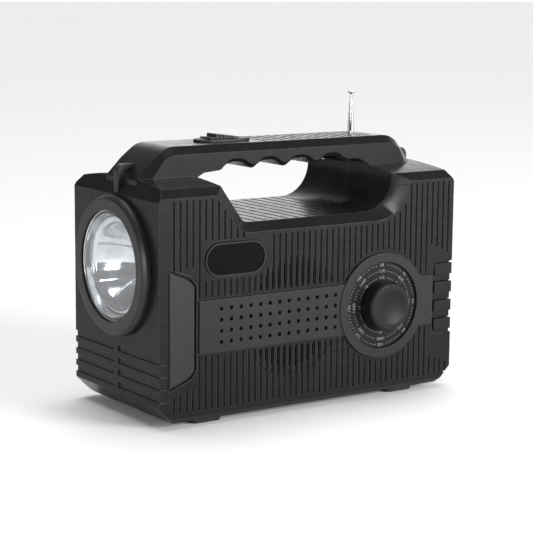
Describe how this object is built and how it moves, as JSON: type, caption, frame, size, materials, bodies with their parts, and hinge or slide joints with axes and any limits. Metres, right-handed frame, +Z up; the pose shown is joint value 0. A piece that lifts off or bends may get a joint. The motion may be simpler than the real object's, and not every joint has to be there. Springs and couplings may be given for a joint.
{
  "type": "emergency radio",
  "caption": "Black portable radio in a two-half case with carrying handle, end torch, tuning dial, sound slots, telescopic antenna and a fold-away charging crank.",
  "frame": {"origin": "middle of the whole box seen from above, at the level of the feet", "axes": "+Z up, X along the case with the torch at -X, -Y towards the listener"},
  "size_m": [0.211, 0.105, 0.1706],
  "materials": {
    "case_plastic": "fine-grained black moulding",
    "trim_plastic": "satin black",
    "plate_plastic": "satin black plate with a light rim",
    "pad_plastic": "smooth satin black",
    "dial_plastic": "black scale with white figures",
    "dial_ink": "printed white figures",
    "knob_plastic": "satin black",
    "key_plastic": "satin black",
    "bezel_plastic": "satin black",
    "clear_lens": "clear",
    "mirror_cup": "vacuum-metallised",
    "led": "yellow phosphor on a white board",
    "switch_plastic": "satin black",
    "loop_plastic": "satin black",
    "rubber_feet": "matt",
    "zinc_steel": "zinc plated",
    "cone_paper": "black paper and dust cap",
    "magnet_iron": "sintered, dark",
    "board": "green circuit board",
    "ferrite": "dark ferrite",
    "coil_plastic": "lacquered copper winding",
    "chrome_parts": "bright chrome",
    "crank_plastic": "satin black",
    "grip_plastic": "satin black",
    "steel_shafts": "ground",
    "gear_plastic": "natural white acetal",
    "brass_parts": "turned",
    "tin_parts": "tinned",
    "tray_plastic": "black",
    "cell_jacket": "green sleeve",
    "solar_silicon": "dark blue cells with silver lines",
    "socket_plastic": "black",
    "flap_rubber": "soft black"
  },
  "bodies": {
    "case": {"front_shell": "case_plastic", "rear_shell": "case_plastic", "front_trim": "trim_plastic", "name_plate": "plate_plastic", "corner_pad": "pad_plastic", "dial_plate": "dial_plastic", "tuning_capacitor": "tin_parts", "key_board": "board", "torch_bezel": "bezel_plastic", "torch_lens": "clear_lens", "torch_reflector": "mirror_cup", "torch_led": "led", "switch_plate": "switch_plastic", "strap_loop_left": "loop_plastic", "strap_loop_right": "loop_plastic", "feet": "rubber_feet", "case_screws": "zinc_steel", "speaker_frame": "zinc_steel", "speaker_cone": "cone_paper", "speaker_magnet": "magnet_iron", "main_board": "board", "ferrite_rod": "ferrite", "ferrite_coil": "coil_plastic", "antenna_bracket": "chrome_parts", "gear_plate": "zinc_steel", "idler_shaft": "steel_shafts", "generator_can": "zinc_steel", "battery_tray": "tray_plastic", "battery_cells": "cell_jacket", "battery_contacts": "zinc_steel", "solar_cells": "solar_silicon", "solar_window": "clear_lens", "volume_control": "tin_parts", "usb_socket": "tin_parts", "earphone_socket": "socket_plastic"},
    "tuning": {"tuning_knob": "knob_plastic", "tuning_spindle": "brass_parts"},
    "key_1": {"key_1": "key_plastic"},
    "key_2": {"key_2": "key_plastic"},
    "key_3": {"key_3": "key_plastic"},
    "key_4": {"key_4": "key_plastic"},
    "torch_slider": {"torch_switch": "switch_plastic"},
    "mast_base": {"antenna_knuckle": "chrome_parts", "antenna_tube_1": "chrome_parts"},
    "mast_2": {"antenna_tube_2": "chrome_parts"},
    "mast_3": {"antenna_tube_3": "chrome_parts"},
    "mast_tip": {"antenna_rod": "chrome_parts", "antenna_cap": "chrome_parts"},
    "crank": {"crank_arm": "crank_plastic", "crank_cap": "crank_plastic", "crank_shaft": "steel_shafts", "crank_gear": "gear_plastic", "crank_hinge_pin": "steel_shafts"},
    "crank_fold": {"crank_knuckle": "steel_shafts"},
    "grip": {"crank_grip": "grip_plastic"},
    "idler": {"idler_gear": "gear_plastic"},
    "rotor": {"generator_pinion": "brass_parts"},
    "battery_door": {"battery_cover": "case_plastic"},
    "volume": {"volume_wheel": "knob_plastic"},
    "flap": {"socket_flap": "flap_rubber"}
  },
  "joints": [
    {"name": "tuning_turn", "type": "hinge", "parent": "case", "child": "tuning", "pos_m": [0.048, -0.0475, 0.0543], "axis": [0, -1, 0], "range_deg": [-135, 135]},
    {"name": "key_1_press", "type": "slide", "parent": "case", "child": "key_1", "axis": [0, 1, 0], "range_m": [0, 0.0008], "stiffness_N_per_m": 400},
    {"name": "key_2_press", "type": "slide", "parent": "case", "child": "key_2", "axis": [0, 1, 0], "range_m": [0, 0.0008], "stiffness_N_per_m": 400},
    {"name": "key_3_press", "type": "slide", "parent": "case", "child": "key_3", "axis": [0, 1, 0], "range_m": [0, 0.0008], "stiffness_N_per_m": 400},
    {"name": "key_4_press", "type": "slide", "parent": "case", "child": "key_4", "axis": [0, 1, 0], "range_m": [0, 0.0008], "stiffness_N_per_m": 400},
    {"name": "torch_slide", "type": "slide", "parent": "case", "child": "torch_slider", "axis": [1, 0, 0], "range_m": [-0.0015, 0.0045]},
    {"name": "mast_fold", "type": "hinge", "parent": "case", "child": "mast_base", "pos_m": [0.0922, 0.0465, 0.078], "axis": [0, 1, 0], "range_deg": [-90, 0]},
    {"name": "mast_2_slide", "type": "slide", "parent": "mast_base", "child": "mast_2", "axis": [0, 0, 1], "range_m": [-0.005, 0.045]},
    {"name": "mast_3_slide", "type": "slide", "parent": "mast_2", "child": "mast_3", "axis": [0, 0, 1], "range_m": [-0.006, 0.045]},
    {"name": "mast_tip_slide", "type": "slide", "parent": "mast_3", "child": "mast_tip", "axis": [0, 0, 1], "range_m": [-0.0045, 0.045]},
    {"name": "crank_turn", "type": "hinge", "parent": "case", "child": "crank", "pos_m": [0.096, 0.003, 0.08], "axis": [1, 0, 0], "continuous": true},
    {"name": "crank_fold_out", "type": "hinge", "parent": "crank", "child": "crank_fold", "pos_m": [0.0995, 0.003, 0.0502], "axis": [0, 1, 0], "range_deg": [0, 90]},
    {"name": "grip_turn", "type": "hinge", "parent": "crank_fold", "child": "grip", "pos_m": [0.0995, 0.003, 0.061], "axis": [0, 0, 1], "continuous": true},
    {"name": "idler_turn", "type": "hinge", "parent": "case", "child": "idler", "pos_m": [0.08, 0.003, 0.05385], "axis": [1, 0, 0], "continuous": true},
    {"name": "rotor_turn", "type": "hinge", "parent": "case", "child": "rotor", "pos_m": [0.076, 0.01721, 0.04193], "axis": [1, 0, 0], "continuous": true},
    {"name": "battery_door_hinge", "type": "hinge", "parent": "case", "child": "battery_door", "pos_m": [-0.03, 0.0486, 0.0129], "axis": [-1, 0, 0], "range_deg": [0, 100]},
    {"name": "volume_turn", "type": "hinge", "parent": "case", "child": "volume", "pos_m": [0.08, 0.0415, 0.056], "axis": [0, 0, 1], "range_deg": [-135, 135]},
    {"name": "flap_hinge", "type": "hinge", "parent": "case", "child": "flap", "pos_m": [0.0233, 0.04875, 0.025], "axis": [0, 0, 1], "range_deg": [0, 70]}
  ],
  "couplings": [
    {"joint": "idler_turn", "follows": "crank_turn", "ratio": -3.3333},
    {"joint": "rotor_turn", "follows": "crank_turn", "ratio": 12}
  ]
}
